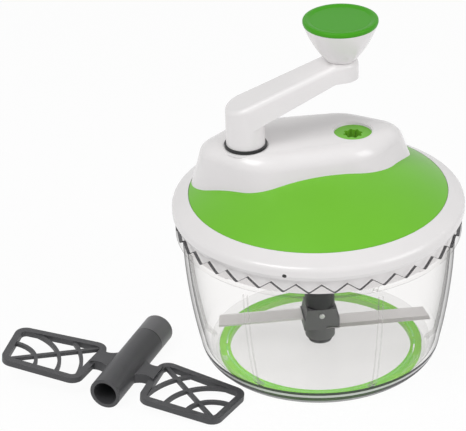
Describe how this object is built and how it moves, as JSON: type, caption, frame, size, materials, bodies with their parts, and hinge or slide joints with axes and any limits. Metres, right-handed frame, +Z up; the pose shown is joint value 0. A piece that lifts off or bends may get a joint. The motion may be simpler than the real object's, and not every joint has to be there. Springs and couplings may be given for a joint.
{
  "type": "crank food chopper",
  "caption": "Crank-driven food chopper with a clear bowl, geared green and white lid, removable crank and blade, and a spare paddle beside it.",
  "frame": {"origin": "on the bowl's axis at the level of the table", "axes": "+Z up along the bowl's axis, +X to the right and +Y away from the viewer in the picture"},
  "size_m": [0.308, 0.1914, 0.2398],
  "materials": {
    "clear_plastic": "clear, see-through, polished",
    "green_rubber": "smooth",
    "steel": "fine brushed",
    "blade_steel": "ground",
    "grey_plastic": "satin",
    "black_plastic": "satin",
    "white_plastic": "glossy",
    "white_gear": "satin",
    "green_plastic": "glossy",
    "black_rubber": "satin",
    "dark_plastic": "satin, fine grain",
    "collar_plastic": "satin"
  },
  "bodies": {
    "bowl": {"bowl": "clear_plastic", "base_ring": "green_rubber", "pivot_pin": "steel"},
    "blade": {"blade_hub": "grey_plastic", "blade_shaft": "black_plastic", "shaft_collar": "black_plastic", "upper_blade": "blade_steel", "lower_blade": "blade_steel", "blade_rivets": "steel"},
    "lid": {"lid_rim": "white_plastic", "lid_dome": "green_plastic", "gear_cover": "white_plastic", "gear_plate": "white_plastic", "plate_screws": "steel", "cover_screws": "steel", "output_bush": "black_plastic"},
    "crank_drive": {"crank_gear": "white_gear"},
    "low_drive": {"low_gear": "green_plastic"},
    "output": {"output_pinion": "black_plastic"},
    "crank": {"crank_arm": "white_plastic", "crank_spigot": "white_gear", "crank_screw": "steel", "crank_seal": "black_rubber", "knob_pin": "steel", "knob_washer": "steel"},
    "knob": {"knob_body": "white_plastic", "knob_cap": "green_plastic"},
    "paddle": {"paddle_body": "dark_plastic", "paddle_collar": "collar_plastic"}
  },
  "joints": [
    {"name": "lid_lift", "type": "slide", "parent": "bowl", "child": "lid", "axis": [0, 0, 1], "range_m": [0, 0.08]},
    {"name": "crank_turn", "type": "hinge", "parent": "lid", "child": "crank_drive", "pos_m": [-0.04618, -0.00999, 0.105], "axis": [0, 0, 1], "continuous": true},
    {"name": "low_turn", "type": "hinge", "parent": "lid", "child": "low_drive", "pos_m": [0.02346, 0.00507, 0.105], "axis": [0, 0, 1], "continuous": true},
    {"name": "output_turn", "type": "hinge", "parent": "lid", "child": "output", "pos_m": [0, 0, 0.105], "axis": [0, 0, 1], "continuous": true},
    {"name": "blade_spin", "type": "hinge", "parent": "bowl", "child": "blade", "pos_m": [0, 0, 0.02], "axis": [0, 0, 1], "continuous": true},
    {"name": "crank_lift", "type": "slide", "parent": "crank_drive", "child": "crank", "axis": [0, 0, 1], "range_m": [0, 0.016]},
    {"name": "knob_spin", "type": "hinge", "parent": "crank", "child": "knob", "pos_m": [0.01608, 0.00348, 0.215], "axis": [0, 0, 1], "continuous": true},
    {"name": "paddle_slide", "type": "slide", "parent": "bowl", "child": "paddle", "axis": [-0.9487, -0.3162, 0], "range_m": [0, 0.1]}
  ],
  "couplings": [
    {"joint": "output_turn", "follows": "crank_turn", "ratio": -3.2},
    {"joint": "low_turn", "follows": "crank_turn", "ratio": 2.8235},
    {"joint": "blade_spin", "follows": "crank_turn", "ratio": -3.2}
  ]
}
